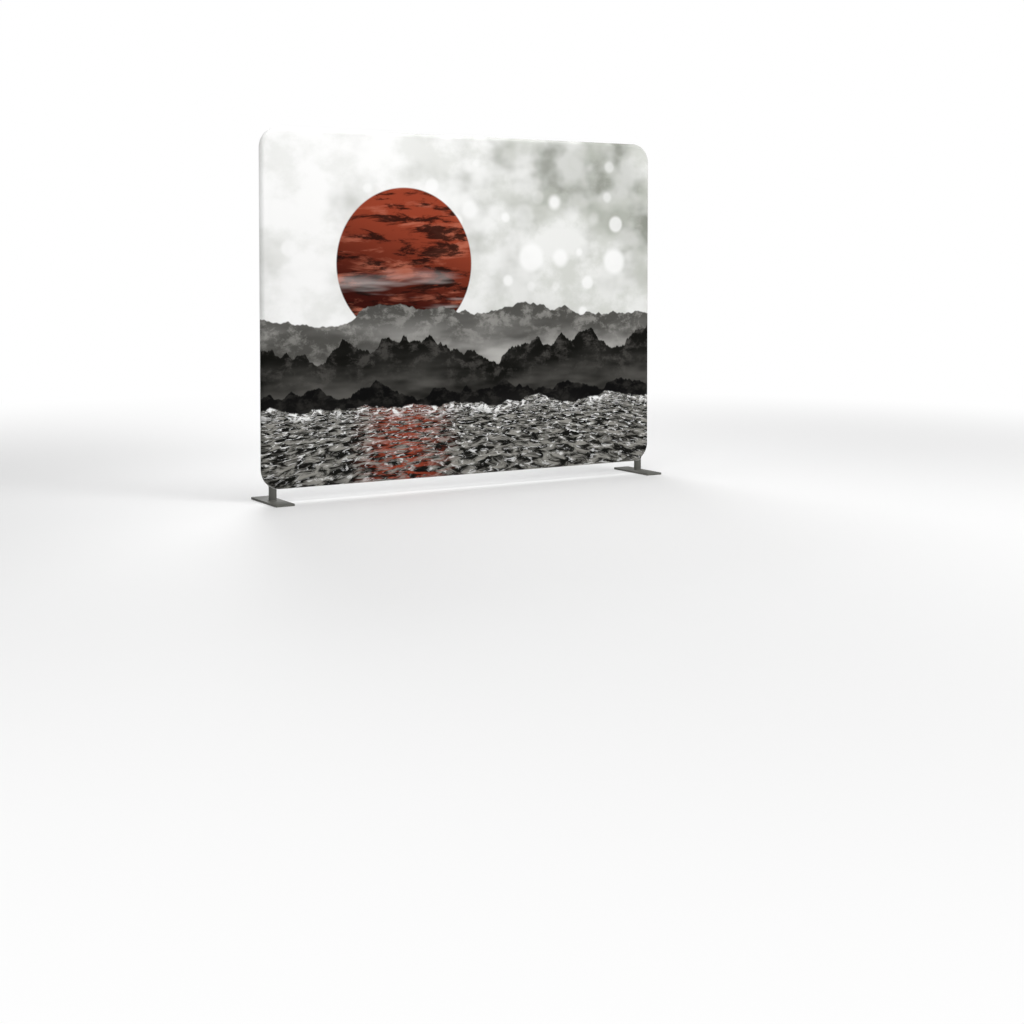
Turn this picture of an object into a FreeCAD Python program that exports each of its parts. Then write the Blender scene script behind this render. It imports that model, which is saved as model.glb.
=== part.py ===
import FreeCAD, Part
import os
from math import sqrt

# Tabletop display wall: a bent tube frame that plugs together, a zipped fabric cover drawn
# over it and two plate feet. Millimetres, +Z up, +Y towards the back. The origin lies on
# the table top, midway between the feet.

# Tube frame
frame_width = 1793.0        # over the tubes
frame_height = 1368.0       # over the tubes
ground_clearance = 50.0     # table to the underside of the lower rail
tube_diameter = 30.0
tube_wall = 1.5
bend_radius = 62.0          # of the tube's centre line
elbow_leg = 73.0            # straight length past each end of the bend

# Plug joints
spigot_wall = 1.5
spigot_reach = 60.0         # into each of the two tubes
slip_clearance = 0.3        # between sleeve and tube, on the radius

# Rivets
rivet_diameter = 4.0
rivet_head_diameter = 7.2
rivet_head_height = 1.8
rivet_bulb_diameter = 5.6
rivet_bulb_length = 2.6
rivet_clearance = 0.15
rivet_inset = 30.0          # from the joint
head_crown_share = 0.6      # flat top of the head, of its diameter

# Spring buttons
button_diameter = 8.0
button_crown = 1.6          # chamfer round the top
button_proud = 2.5          # above the outer tube
button_flange_diameter = 9.4
button_flange_thickness = 0.8
button_clearance = 0.3
button_inset = 30.0         # from the joint
spring_width = 8.0
spring_thickness = 0.8
spring_nose_radius = 3.0
spring_length = 28.0        # button to nose, in the frame
foot_spring_length = 15.0   # button to nose, in the feet

# Feet
plate_width = 76.0
plate_depth = 250.0
plate_thickness = 8.0
plate_corner_radius = 4.0
plate_edge_radius = 0.8
post_diameter = 30.0
post_wall = 2.0
post_inset = 46.5           # post axis from the outside of the frame
weld_leg = 3.0
weld_gap = 0.1
stub_wall = 2.0
stub_lift = 6.0             # end of the stub above the plate
foot_button_lift = 20.0     # button above the plate

# Fabric cover
cover_thickness = 0.8
cover_clearance = 0.3       # fabric to tube
slit_clearance = 0.6        # fabric round the posts

# Zip in the back of the cover
zip_inset = 76.5            # end of the zip from the outside of the frame
zip_height = 55.0           # above the lower edge of the cover
tape_width = 12.0           # of each tape, beside the chain
tape_thickness = 0.6
tape_tail = 18.0            # tape past the ends of the zip
chain_half_width = 3.0
chain_thickness = 2.4
chain_gap = 0.1             # between the two halves of the chain
stop_length = 4.0
stop_rise = 0.3             # bottom stop over the chain, each side
slider_length = 14.0
slider_flare = 1.6          # shoulder over tail, each side
slider_flange = 1.0
slider_wing = 1.0
slider_clearance = 0.3
slot_margin = 1.0           # cover's slot past the slider
diamond_width = 4.0
diamond_tip_share = 0.08    # of the slider's length, from its middle
diamond_end_share = 0.42
bail_length = 8.0
bail_width = 2.0
bail_thickness = 1.0
bail_chamfer = 0.6
pull_length = 30.0
pull_width = 8.0
pull_neck_width = 6.8
pull_bar_diameter = 1.4
pull_eye_length = 6.0
pull_eye_width = 4.0
pull_clearance = 0.4

# Cuts
overrun = 5.0               # past the faces that a cut goes through

# Worked-out places
tube_radius = tube_diameter / 2
post_radius = post_diameter / 2
rail_x = frame_width / 2 - tube_radius
low_z = ground_clearance + tube_radius
high_z = ground_clearance + frame_height - tube_radius
bend_x = rail_x - bend_radius
low_bend_z = low_z + bend_radius
high_bend_z = high_z - bend_radius
leg_x = bend_x - elbow_leg
spigot_radius = tube_radius - tube_wall - slip_clearance
stub_radius = post_radius - post_wall - slip_clearance
cover_inner = tube_radius + cover_clearance
cover_outer = cover_inner + cover_thickness
post_x = frame_width / 2 - post_inset
tape_y = cover_inner - cover_clearance - tape_thickness / 2
zip_length = frame_width - 2 * zip_inset
zip_z = low_z - cover_outer + zip_height

Vector = FreeCAD.Vector
ORIGIN = Vector(0, 0, 0)
X = Vector(1, 0, 0)
Y = Vector(0, 1, 0)
Z = Vector(0, 0, 1)
QUARTER_TURN = 90
HALF_TURN = 180
FULL_TURN = 360

os.makedirs("parts", exist_ok=True)


def save(name, shape):
    shape.exportStep("parts/" + name + ".step")


def polygon(points):
    return Part.Face(Part.makePolygon(points + points[:1]))


def block(low, high):
    size = high - low
    return Part.makeBox(size.x, size.y, size.z, low)


def ring(centre, axis, outer, inner):
    rims = [Part.Wire(Part.makeCircle(radius, centre, axis)) for radius in (outer, inner)]
    return Part.makeFace(rims, "Part::FaceMakerBullseye")


def disc(centre, axis, radius):
    return Part.Face(Part.Wire(Part.makeCircle(radius, centre, axis)))


def fused(solids):
    return solids[0].fuse(solids[1:]).removeSplitter()


def bend_centre(side, level):
    return Vector(side * bend_x, 0, high_bend_z if level > 0 else low_bend_z)


def elbow(side, level, section):
    """Sweeps a section round one corner: a straight leg, a quarter bend and a second leg."""
    centre = bend_centre(side, level)
    rail_end = centre + Z * (level * bend_radius)
    upright_end = centre + X * (side * bend_radius)
    across = section(rail_end, X)
    up = section(upright_end, Z)
    bend = across.revolve(centre, Y * (side * level), QUARTER_TURN)
    rail_leg = across.extrude(X * (-side * elbow_leg))
    upright_leg = up.extrude(Z * (-level * elbow_leg))
    return fused([bend, rail_leg, upright_leg])


def tube_section(centre, axis):
    return ring(centre, axis, tube_radius, tube_radius - tube_wall)


def weld_section(centre, axis):
    return disc(centre, axis, tube_radius + weld_gap)


def seat_section(centre, axis):
    return disc(centre, axis, tube_radius + slip_clearance)


def lining_section(centre, axis):
    return disc(centre, axis, cover_inner)


def bend_disc(side, radius):
    """A disc across a lower corner, about the axis of its bend."""
    centre = bend_centre(side, LEVELS["bottom"])
    return Part.makeCylinder(radius, 2 * tube_diameter, centre - Y * tube_diameter, Y)


def straight_tube(start, end):
    return tube_section(start, end - start).extrude(end - start)


# Frame: four elbows, four rail halves and two uprights
SIDES = {"left": -1, "right": 1}
LEVELS = {"bottom": -1, "top": 1}
RAIL_Z = {"bottom": low_z, "top": high_z}

tubes = {}
for level_name, level in LEVELS.items():
    for side_name, side in SIDES.items():
        tubes["corner_" + level_name + "_" + side_name] = elbow(side, level, tube_section)
        outer_end = Vector(side * leg_x, 0, RAIL_Z[level_name])
        middle = Vector(0, 0, RAIL_Z[level_name])
        tubes[level_name + "_rail_" + side_name] = straight_tube(outer_end, middle)
for side_name, side in SIDES.items():
    foot = Vector(side * rail_x, 0, low_bend_z + elbow_leg)
    head = Vector(side * rail_x, 0, high_bend_z - elbow_leg)
    tubes["side_tube_" + side_name] = straight_tube(foot, head)

# Plug joints: name, place, way from the riveted tube to the loose one, way to the middle of
# the panel, riveted tube, loose tube
plug_joints = []
for level_name, level in LEVELS.items():
    rail = level_name + "_rail_"
    corner = "corner_" + level_name + "_"
    inward = Z * -level
    middle = Vector(0, 0, RAIL_Z[level_name])
    plug_joints.append((level_name + "_middle", middle, X, inward, rail + "left", rail + "right"))
    for side_name, side in SIDES.items():
        place = Vector(side * leg_x, 0, RAIL_Z[level_name])
        name = level_name + "_" + side_name
        plug_joints.append((name, place, X * -side, inward, corner + side_name, rail + side_name))
        leg_end = bend_centre(side, level) + X * (side * bend_radius) - Z * (level * elbow_leg)
        name = side_name + "_" + level_name
        upright = "side_tube_" + side_name
        plug_joints.append((name, leg_end, Z * -level, X * -side, corner + side_name, upright))


def placed(shape, place, along, out):
    """Puts a shape made with X along its tube and Z out of the wall at its place."""
    turn = FreeCAD.Rotation(along, out.cross(along), out, "ZXY")
    shape.Placement = FreeCAD.Placement(place, turn)
    return shape


def turned(points):
    """Revolves an outline of radius and height pairs about Z."""
    outline = polygon([Vector(radius, 0, height) for radius, height in points])
    return outline.revolve(ORIGIN, Z, FULL_TURN)


def rivet(outer_radius, bore_radius):
    shank = rivet_diameter / 2
    head = rivet_head_diameter / 2
    bulb = rivet_bulb_diameter / 2
    seat = outer_radius + weld_gap
    bulb_top = sqrt(bore_radius ** 2 - bulb ** 2) - rivet_clearance
    return turned([
        (0, seat + rivet_head_height),
        (head * head_crown_share, seat + rivet_head_height),
        (head, seat),
        (shank, seat),
        (shank, bulb_top),
        (bulb, bulb_top),
        (bulb, bulb_top - rivet_bulb_length),
        (0, bulb_top - rivet_bulb_length),
    ])


def flange_top(bore_radius):
    """Height at which the button's flange rests under the bore's wall."""
    return sqrt(bore_radius ** 2 - (button_flange_diameter / 2) ** 2) - button_clearance


def button(outer_radius, bore_radius):
    shank = button_diameter / 2
    flange = button_flange_diameter / 2
    top = outer_radius + button_proud
    shoulder = top - button_crown
    stop = flange_top(bore_radius)
    base = stop - button_flange_thickness
    return turned([
        (0, top),
        (shank - button_crown, top),
        (shank, shoulder),
        (shank, stop),
        (flange, stop),
        (flange, base),
        (0, base),
    ])


def snap_spring(bore_radius, length):
    """Bent strip: a leg under the button, a round nose and a leg on the opposite wall."""
    flat = button_flange_diameter / 2
    top = flange_top(bore_radius) - button_flange_thickness - weld_gap
    bottom = slip_clearance - sqrt(bore_radius ** 2 - (spring_width / 2) ** 2)
    nose = spring_nose_radius
    inner = spring_nose_radius - spring_thickness

    def point(along, height):
        return Vector(along, -spring_width / 2, height)

    outside = [point(flat, top), point(-flat, top), point(-length, nose)]
    outer_nose = Part.Arc(point(-length, nose), point(-length - nose, 0), point(-length, -nose))
    foot = [point(-length, -nose), point(flat, bottom), point(flat, bottom + spring_thickness),
            point(-length, -inner)]
    inner_nose = Part.Arc(point(-length, -inner), point(-length - inner, 0), point(-length, inner))
    inside = [point(-length, inner), point(-flat, top - spring_thickness),
              point(flat, top - spring_thickness), point(flat, top)]
    edges = []
    for run, curve in ((outside, outer_nose), (foot, inner_nose), (inside, None)):
        edges += [Part.makeLine(a, b) for a, b in zip(run, run[1:])]
        if curve:
            edges.append(curve.toShape())
    return Part.Face(Part.Wire(edges)).extrude(Y * spring_width)


def wall_hole(place, out, radius, reach):
    return Part.makeCylinder(radius, reach + overrun, place, out)


rivet_hole = rivet_diameter / 2 + rivet_clearance
button_hole = button_diameter / 2 + button_clearance
spigot_bore = spigot_radius - spigot_wall
stub_bore = stub_radius - stub_wall
rivets = []
springs = []
for name, place, along, inward, riveted, loose in plug_joints:
    rivet_place = place - along * rivet_inset
    button_place = place + along * button_inset
    rivet_cut = wall_hole(rivet_place, inward, rivet_hole, tube_radius)
    button_cut = wall_hole(button_place, inward, button_hole, tube_radius)
    start = place - along * spigot_reach
    sleeve = ring(start, along, spigot_radius, spigot_bore).extrude(along * (2 * spigot_reach))
    save("spigot_" + name, sleeve.cut([rivet_cut, button_cut]))
    tubes[riveted] = tubes[riveted].cut(rivet_cut)
    tubes[loose] = tubes[loose].cut(button_cut)
    rivets.append(placed(rivet(tube_radius, spigot_bore), rivet_place, along, inward))
    springs.append(placed(snap_spring(spigot_bore, spring_length), button_place, along, inward))
    save("button_" + name, placed(button(tube_radius, spigot_bore), button_place, along, inward))

# Feet: plate, welded post, and a stub that the post pushes over, both coped to the lower elbow
post_offset = post_x - bend_x
post_top = low_bend_z - sqrt(bend_radius ** 2 - post_offset ** 2)
button_z = plate_thickness + foot_button_lift


def base_plate(x):
    low = Vector(x - plate_width / 2, -plate_depth / 2, 0)
    plate = block(low, low + Vector(plate_width, plate_depth, plate_thickness))
    upright_edges = [edge for edge in plate.Edges if edge.BoundBox.ZLength > plate_thickness / 2]
    plate = plate.makeFillet(plate_corner_radius, upright_edges)
    top_edges = [edge for edge in plate.Edges if edge.BoundBox.ZMin > plate_thickness / 2]
    return plate.makeFillet(plate_edge_radius, top_edges)


def post(x, side):
    bore = post_radius - post_wall
    pillar = turned([
        (bore, plate_thickness),
        (post_radius + weld_leg, plate_thickness),
        (post_radius, plate_thickness + weld_leg),
        (post_radius, post_top),
        (bore, post_top),
    ])
    pillar.translate(X * x)
    return pillar.cut([elbow(side, LEVELS["bottom"], seat_section), bend_disc(side, bend_radius)])


def stub(x, side):
    start = Vector(x, 0, plate_thickness + stub_lift)
    sleeve = ring(start, Z, stub_radius, stub_bore).extrude(Z * (post_top - start.z))
    return sleeve.cut(elbow(side, LEVELS["bottom"], weld_section))


for side_name, side in SIDES.items():
    x = side * post_x
    button_place = Vector(x, 0, button_z)
    hole = wall_hole(button_place, Y, button_hole, post_radius)
    save("base_plate_" + side_name, base_plate(x))
    save("post_" + side_name, post(x, side).cut(hole))
    save("stub_" + side_name, stub(x, side).cut(hole))
    springs.append(placed(snap_spring(stub_bore, foot_spring_length), button_place, Z * -1, Y))
    save("button_foot_" + side_name, placed(button(post_radius, stub_bore), button_place, Z * -1, Y))

for name, tube in tubes.items():
    save(name, tube)
save("rivets", Part.makeCompound(rivets))
save("snap_springs", Part.makeCompound(springs))


# Cover: a flat sheet on each face, with its edge rolled round the tubes to mid-thickness
def rolled_section(place, out, face):
    def point(radius, to_face, outward):
        return place + Y * (face * radius * to_face) + out * (radius * outward)

    diagonal = sqrt(1 / 2)
    arcs = [Part.Arc(point(radius, 1, 0), point(radius, diagonal, diagonal), point(radius, 0, 1))
            for radius in (cover_outer, cover_inner)]
    lips = [Part.makeLine(point(cover_inner, 1, 0), point(cover_outer, 1, 0)),
            Part.makeLine(point(cover_inner, 0, 1), point(cover_outer, 0, 1))]
    edges = [arc.toShape() for arc in arcs] + lips
    return Part.Face(Part.Wire(Part.__sortEdges__(edges)))


def flat_sheet(face):
    low = Vector(-rail_x, 0, low_z)
    high = Vector(rail_x, cover_thickness, high_z)
    sheet = block(low, high)
    corners = [edge for edge in sheet.Edges if edge.BoundBox.YLength > cover_thickness / 2]
    sheet = sheet.makeFillet(bend_radius, corners)
    sheet.translate(Y * (cover_inner if face > 0 else -cover_outer))
    return sheet


def collar(side, face):
    """Fabric drawn down over one side of a post, as low as the cover's edge."""
    foot = Vector(side * post_x, 0, 0)
    reach = post_radius + slit_clearance + cover_thickness
    sleeve = Part.makeCylinder(reach, post_top, foot, Z, HALF_TURN)
    if face < 0:
        sleeve.rotate(foot, Z, HALF_TURN)
    kept = sleeve.common(bend_disc(side, bend_radius + cover_outer))
    return kept.cut([elbow(side, LEVELS["bottom"], lining_section), bend_disc(side, bend_radius)])


def cover(face):
    solids = [flat_sheet(face)]
    for level in LEVELS.values():
        for side in SIDES.values():
            centre = bend_centre(side, level)
            section = rolled_section(centre + Z * (level * bend_radius), Z * level, face)
            solids.append(section.revolve(centre, Y * (side * level), QUARTER_TURN))
        start = bend_centre(SIDES["left"], level) + Z * (level * bend_radius)
        solids.append(rolled_section(start, Z * level, face).extrude(X * (2 * bend_x)))
    for side in SIDES.values():
        start = bend_centre(side, LEVELS["bottom"]) + X * (side * bend_radius)
        section = rolled_section(start, X * side, face)
        solids.append(section.extrude(Z * (high_bend_z - low_bend_z)))
        solids.append(collar(side, face))
    slits = [Part.makeCylinder(post_radius + slit_clearance, post_top, Vector(side * post_x, 0, 0))
             for side in SIDES.values()]
    return fused(solids).cut(slits)


# Zip: tapes behind the cover's slot, the chain between them, stops, slider and pull
slider_tail = chain_half_width + slider_clearance + slider_flange
slider_shoulder = slider_tail + slider_flare
slider_x = zip_length / 2 - slider_length / 2
wing_inner = chain_thickness / 2 + slider_clearance
wing_outer = wing_inner + slider_wing
slot_half = slider_shoulder + slot_margin
slot_reach = zip_length / 2 + stop_length + slot_margin
bar_radius = pull_bar_diameter / 2
pivot = Vector(slider_x, tape_y + wing_outer + pull_clearance + bar_radius, zip_z)

slot = block(Vector(-slot_reach, cover_inner - cover_clearance, zip_z - slot_half),
             Vector(slot_reach, cover_outer + overrun, zip_z + slot_half))
save("cover_front", cover(-1))
save("cover_back", cover(1).cut(slot))


def strip(x_range, half_thickness, near, far, way):
    """A bar along the zip, between two heights from its middle, above or below."""
    heights = sorted([zip_z + way * near, zip_z + way * far])
    return block(Vector(x_range[0], tape_y - half_thickness, heights[0]),
                 Vector(x_range[1], tape_y + half_thickness, heights[1]))


tape_range = (-zip_length / 2 - tape_tail, zip_length / 2 + tape_tail)
chain_range = (-zip_length / 2, slider_x)
top_stop_start = zip_length / 2 + slider_clearance
top_stop_range = (top_stop_start, top_stop_start + stop_length)
bottom_stop_range = (-zip_length / 2 - stop_length, -zip_length / 2)
bottom_stop_half = chain_thickness / 2 + stop_rise
stops = [strip(bottom_stop_range, bottom_stop_half, -chain_half_width, chain_half_width, 1)]
for half_name, way in (("upper", 1), ("lower", -1)):
    tape_edge = chain_half_width + tape_width
    tape = strip(tape_range, tape_thickness / 2, chain_half_width, tape_edge, way)
    save("zip_tape_" + half_name, tape)
    chain = strip(chain_range, chain_thickness / 2, chain_gap / 2, chain_half_width, way)
    save("zip_chain_" + half_name, chain)
    stops.append(strip(top_stop_range, chain_thickness / 2, chain_gap / 2, chain_half_width, way))
save("zip_stops", Part.makeCompound(stops))


def slider_plan(y, inset, overshoot):
    """Outline of the slider seen from behind: straight at its tail, flared to its shoulder."""
    half = slider_length / 2
    tail = slider_tail - inset
    shoulder = slider_shoulder - inset
    side = [(-half - overshoot, tail), (0, tail), (half, shoulder), (half + overshoot, shoulder)]
    if not overshoot:
        side = side[:3]
    outline = side + [(along, -width) for along, width in reversed(side)]
    return polygon([Vector(slider_x + along, y, zip_z + width) for along, width in outline])


def slider():
    solids = []
    for way in (-1, 1):
        wing = slider_plan(tape_y + way * wing_inner, 0, 0).extrude(Y * (way * slider_wing))
        flange_start = tape_y + way * (tape_thickness / 2 + slider_clearance)
        flange_height = wing_inner - tape_thickness / 2 - slider_clearance
        rim = slider_plan(flange_start, 0, 0).extrude(Y * (way * flange_height))
        channel = slider_plan(flange_start, slider_flange, overrun).extrude(Y * (way * flange_height))
        solids += [wing, rim.cut(channel)]
    tip = slider_x + slider_length * diamond_tip_share
    end = slider_x + slider_length * diamond_end_share
    base = tape_y - wing_inner
    corners = [(tip, 0), (end, diamond_width / 2), (end, -diamond_width / 2)]
    diamond = polygon([Vector(along, base, zip_z + width) for along, width in corners])
    solids.append(diamond.extrude(Y * (2 * wing_inner)))
    solids.append(bail())
    return fused(solids)


def bail():
    floor = tape_y + wing_outer
    opening = pull_bar_diameter + 2 * pull_clearance
    crown = opening + bail_thickness
    outer = bail_length / 2
    inner = outer - bail_thickness
    right = [(outer, 0), (outer, crown - bail_chamfer), (outer - bail_chamfer, crown)]
    left = [(-along, height) for along, height in reversed(right)]
    inside = [(-inner, 0), (-inner, opening), (inner, opening), (inner, 0)]
    points = [Vector(slider_x + along, floor + height, zip_z - bail_width / 2)
              for along, height in right + left + inside]
    return polygon(points).extrude(Z * bail_width)


def pull():
    """Flat tab with an eye, hung on a round bar under the slider's bail."""
    neck = pull_neck_width / 2
    wide = pull_width / 2
    tip = pull_length - wide

    def point(along, width):
        return pivot + Vector(along, -bar_radius, width)

    start = [point(tip, -wide), point(pull_eye_length, -neck), point(0, -neck)]
    finish = [point(0, neck), point(pull_eye_length, neck), point(tip, wide)]
    run = start + finish
    edges = [Part.makeLine(a, b) for a, b in zip(run, run[1:])]
    edges.append(Part.Arc(point(tip, wide), point(pull_length, 0), point(tip, -wide)).toShape())
    tab = Part.Face(Part.Wire(edges)).extrude(Y * pull_bar_diameter)
    eye_half = pull_eye_width / 2
    eye = block(point(-overrun, -eye_half) - Y * overrun,
                point(pull_eye_length, eye_half) + Y * (pull_bar_diameter + overrun))
    bar = Part.makeCylinder(bar_radius, pull_neck_width, pivot - Z * neck, Z)
    return fused([tab.cut(eye), bar])


save("zip_slider", slider())
save("zip_pull", pull())
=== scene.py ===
from math import acos, atan2, ceil, cos, pi, radians, sin, sqrt

import bmesh
import bpy
from bmesh.types import BMEdge, BMVert
from mathutils import Matrix, Vector


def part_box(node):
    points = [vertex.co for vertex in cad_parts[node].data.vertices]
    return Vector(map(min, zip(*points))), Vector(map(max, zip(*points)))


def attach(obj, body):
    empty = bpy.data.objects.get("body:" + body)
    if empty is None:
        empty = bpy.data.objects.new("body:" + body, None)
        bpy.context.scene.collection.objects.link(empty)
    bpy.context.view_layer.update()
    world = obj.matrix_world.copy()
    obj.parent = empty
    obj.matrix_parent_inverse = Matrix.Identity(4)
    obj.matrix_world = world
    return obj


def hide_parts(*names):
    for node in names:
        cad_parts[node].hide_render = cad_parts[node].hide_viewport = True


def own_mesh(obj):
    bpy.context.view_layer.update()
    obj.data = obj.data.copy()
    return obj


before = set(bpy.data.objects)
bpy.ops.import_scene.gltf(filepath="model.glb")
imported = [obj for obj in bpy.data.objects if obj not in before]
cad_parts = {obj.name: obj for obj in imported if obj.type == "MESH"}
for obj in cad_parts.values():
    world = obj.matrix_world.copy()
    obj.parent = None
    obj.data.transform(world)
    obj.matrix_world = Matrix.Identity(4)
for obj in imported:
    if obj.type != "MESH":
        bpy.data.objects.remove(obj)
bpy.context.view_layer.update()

X = Vector((1, 0, 0))
Y = Vector((0, 1, 0))
Z = Vector((0, 0, 1))
QUARTER = pi / 2
FULL_TURN = 2 * pi

# Sizes of the pieces, in metres, on the same frame as the construction
cover_low, cover_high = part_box("cover_front")
cover_radius = 0.0161
cover_thickness = 0.0008
bend_radius = 0.062
rail_x = cover_high.x - cover_radius
low_z = cover_low.z + cover_radius
high_z = cover_high.z - cover_radius
bend_x = rail_x - bend_radius
low_bend_z = low_z + bend_radius
high_bend_z = high_z - bend_radius
middle_z = (low_bend_z + high_bend_z) / 2
straight_width = 2 * bend_x
straight_height = high_bend_z - low_bend_z
post_low, post_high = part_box("post_right")
post_x = (post_low.x + post_high.x) / 2
post_radius = 0.015
slit_clearance = 0.0004
slit_radius = post_radius + slit_clearance + cover_thickness
tape_low, tape_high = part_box("zip_tape_upper")
tape_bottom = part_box("zip_tape_lower")[0].z
zip_y = (tape_low.y + tape_high.y) / 2
zip_z = (tape_bottom + tape_high.z) / 2
slot_reach = 0.825
slot_half = 0.0069

# The mesh attribute with each point's place on the cut fabric, which the print follows
LAID_FLAT = "laid_flat"


class Paint:
    """One procedural material, with short calls for its nodes."""

    def __init__(self, name, roughness, metallic=0.0, on_cover=False):
        self.material = bpy.data.materials.new(name)
        self.material.use_nodes = True
        self.tree = self.material.node_tree
        self.shader = self.tree.nodes["Principled BSDF"]
        self.shader.inputs["Roughness"].default_value = roughness
        self.shader.inputs["Metallic"].default_value = metallic
        if on_cover:
            self.place = self.add("ShaderNodeAttribute", attribute_name=LAID_FLAT).outputs["Vector"]
        else:
            self.place = self.add("ShaderNodeTexCoord").outputs["Object"]
        parts = self.add("ShaderNodeSeparateXYZ", {0: self.place}).outputs
        self.across, self.deep, self.up = parts[0], parts[1], parts[2]

    def add(self, kind, inputs=None, **settings):
        """Adds a node with its settings and what goes into it."""
        node = self.tree.nodes.new(kind)
        for name, value in settings.items():
            setattr(node, name, value)
        for name, value in (inputs or {}).items():
            self.plug(value, node.inputs[name])
        return node

    def plug(self, value, socket):
        """Links a socket to another node, or sets it to a number or a colour."""
        if isinstance(value, bpy.types.NodeSocket):
            self.tree.links.new(value, socket)
        elif socket.type == "RGBA":
            socket.default_value = (*value, 1)
        else:
            socket.default_value = value

    def math(self, operation, *values):
        inputs = dict(enumerate(values))
        return self.add("ShaderNodeMath", inputs, operation=operation).outputs[0]

    def times(self, first, second):
        return self.math("MULTIPLY", first, second)

    def plus(self, first, second):
        return self.math("ADD", first, second)

    def minus(self, first, second):
        return self.math("SUBTRACT", first, second)

    def between(self, low, high, share):
        """Goes from low to high as the share goes from 0 to 1."""
        return self.plus(low, self.times(share, high - low))

    def distance(self, x, y):
        return self.math("SQRT", self.plus(self.times(x, x), self.times(y, y)))

    def waves(self, along, length):
        return self.math("SINE", self.times(along, FULL_TURN / length))

    def step(self, value, start, end):
        """Goes smoothly from 0 to 1 as the value goes from start to end."""
        if start > end:
            return self.minus(1.0, self.step(value, end, start))
        inputs = {"Value": value, "From Min": start, "From Max": end}
        node = self.add("ShaderNodeMapRange", inputs, interpolation_type="SMOOTHSTEP")
        return node.outputs[0]

    def grid(self, wide, high, offset):
        """Place on the panel, counted in so many steps to the metre."""
        x = self.plus(self.times(self.across, wide), offset)
        z = self.plus(self.times(self.up, high), offset)
        return self.add("ShaderNodeCombineXYZ", {0: x, 1: z}).outputs[0]

    def cloud(self, wide, high, thin, thick, detail=2.0, rough=0.5, offset=0.0, bend=0.0):
        """Patches, so many to the metre each way: 0 where they are thin, 1 where they are thick."""
        inputs = {"Vector": self.grid(wide, high, offset), "Scale": 1.0, "Detail": detail,
                  "Roughness": rough, "Distortion": bend}
        noise = self.add("ShaderNodeTexNoise", inputs, noise_dimensions="2D").outputs[0]
        return self.step(noise, thin, thick)

    def grain(self, scale, detail=2.0):
        """Fine noise all through a piece."""
        inputs = {"Vector": self.place, "Scale": scale, "Detail": detail}
        return self.add("ShaderNodeTexNoise", inputs).outputs[0]

    def profile(self, scale, detail, offset):
        """A line of hills along the panel, half of it above 0 and half below."""
        along = self.plus(self.times(self.across, scale), offset)
        inputs = {"W": along, "Scale": 1.0, "Detail": detail, "Roughness": 0.55}
        noise = self.add("ShaderNodeTexNoise", inputs, noise_dimensions="1D").outputs[0]
        return self.minus(noise, 0.5)

    def over(self, under, colour, share):
        """Lays a colour over another one, where share is 1."""
        node = self.add("ShaderNodeMix", {0: share, 6: under, 7: colour}, data_type="RGBA")
        return node.outputs[2]

    def colour(self, value):
        self.plug(value, self.shader.inputs["Base Color"])

    def roughen(self, value):
        self.plug(value, self.shader.inputs["Roughness"])

    def relief(self, height, depth, strength):
        inputs = {"Height": height, "Distance": depth, "Strength": strength}
        self.plug(self.add("ShaderNodeBump", inputs).outputs[0], self.shader.inputs["Normal"])

    def sheen(self, weight, roughness):
        self.shader.inputs["Sheen Weight"].default_value = weight
        self.shader.inputs["Sheen Roughness"].default_value = roughness

    def gloss(self, level):
        self.shader.inputs["Specular IOR Level"].default_value = level


def grey(level):
    return (level, level, level)


# Knit and weave: the size of a loop of the cover and of a rib of the tape
loop_width = 0.0009
loop_height = 0.0011
loop_depth = 0.00008
rib_width = 0.0012
rib_depth = 0.0001

# Print: where its parts lie on the panel
sun_x = -0.29
sun_z = 0.905
sun_radius = 0.302
sun_rim = 0.006
ridge_rim = 0.006
shore_z = 0.345
shore_play = 0.09
shore_crest = 0.035
shore_rim = 0.008
ripple_spread = 0.35
ripple_first = 0.05
ripple_base = 2.718

# Print: its soft lights, as how many to the metre, offset and strength, and where they fade out
SKY_LIGHTS = ((4.6, 2.3, 0.8), (8.0, 8.9, 0.75))
LIGHTS_ASIDE = (0.82, 0.78)
LIGHTS_UP = (1.345, 1.3)

# Print: its colours
WHITE = (0.85, 0.85, 0.842)
PALE_GREY = (0.52, 0.53, 0.495)
CLOUD_GREY = (0.25, 0.26, 0.228)
PATCH_GREY = (0.46, 0.475, 0.43)
RUST = (0.27, 0.045, 0.02)
DARK_RUST = (0.036, 0.004, 0.002)
PALE_RUST = (0.46, 0.14, 0.085)
BURNT = (0.008, 0.002, 0.001)
HAZE = (0.72, 0.66, 0.63)
WATER_BLACK = (0.005, 0.005, 0.004)
WATER_GREY = (0.27, 0.263, 0.238)
WATER_RED = (0.3, 0.05, 0.024)


def knit(paint):
    """Fine rows of loops, as on a stretch polyester."""
    rows = paint.waves(paint.up, loop_height)
    ribs = paint.waves(paint.across, loop_width)
    paint.relief(paint.times(rows, ribs), loop_depth, strength=0.25)
    paint.sheen(weight=0.008, roughness=0.5)
    paint.gloss(0.04)


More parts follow.
